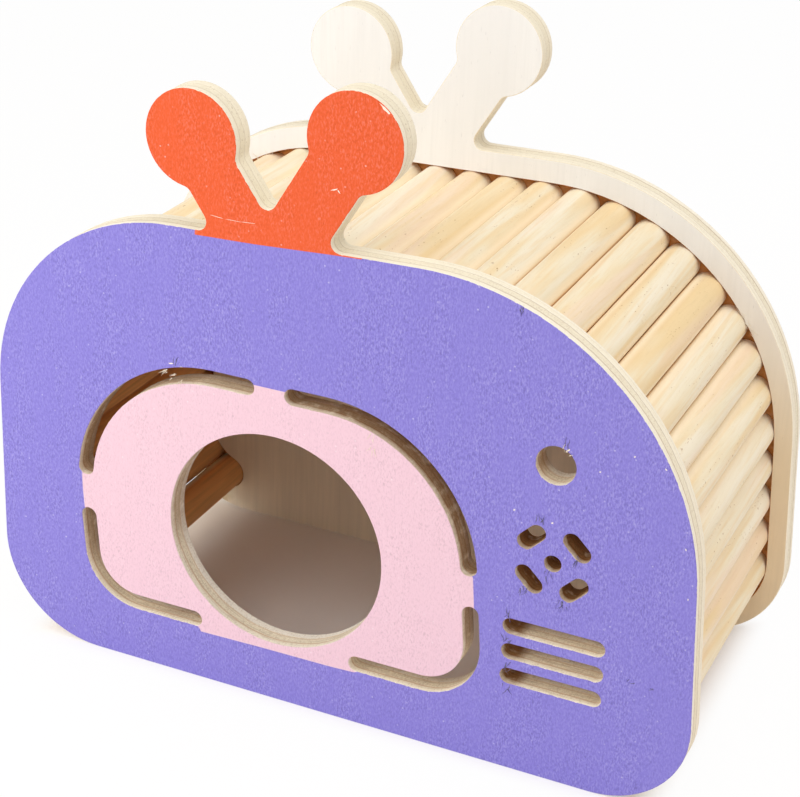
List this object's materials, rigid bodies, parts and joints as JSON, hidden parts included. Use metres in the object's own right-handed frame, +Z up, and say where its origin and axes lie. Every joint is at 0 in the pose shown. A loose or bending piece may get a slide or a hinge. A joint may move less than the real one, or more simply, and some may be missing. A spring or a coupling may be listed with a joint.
{
  "type": "rodent house",
  "caption": "Wooden rodent house shaped like an old television with rabbit-ear antennae: plywood panels, round doorway, slotted screen, arched wall of round rods, open floor.",
  "frame": {"origin": "middle of the footprint, on the surface that the house stands on", "axes": "+X to the right seen from the front, +Y from the front panel to the rear one, +Z up"},
  "size_m": [0.1936, 0.0922, 0.1681],
  "materials": {
    "painted_front": "plywood under matte purple paint, with a pink screen and orange antennae",
    "bare_rear": "bare sanded plywood",
    "bare_rod": "bare sanded softwood"
  },
  "bodies": {
    "root": {"front_panel": "painted_front", "rear_panel": "bare_rear", "rod_01": "bare_rod", "rod_02": "bare_rod", "rod_03": "bare_rod", "rod_04": "bare_rod", "rod_05": "bare_rod", "rod_06": "bare_rod", "rod_07": "bare_rod", "rod_08": "bare_rod", "rod_09": "bare_rod", "rod_10": "bare_rod", "rod_11": "bare_rod", "rod_12": "bare_rod", "rod_13": "bare_rod", "rod_14": "bare_rod", "rod_15": "bare_rod", "rod_16": "bare_rod", "rod_17": "bare_rod", "rod_18": "bare_rod", "rod_19": "bare_rod", "rod_20": "bare_rod", "rod_21": "bare_rod", "rod_22": "bare_rod", "rod_23": "bare_rod", "rod_24": "bare_rod", "rod_25": "bare_rod", "rod_26": "bare_rod", "rod_27": "bare_rod", "rod_28": "bare_rod", "rod_29": "bare_rod", "rod_30": "bare_rod", "rod_31": "bare_rod", "rod_32": "bare_rod", "rod_33": "bare_rod", "rod_34": "bare_rod"}
  },
  "joints": []
}
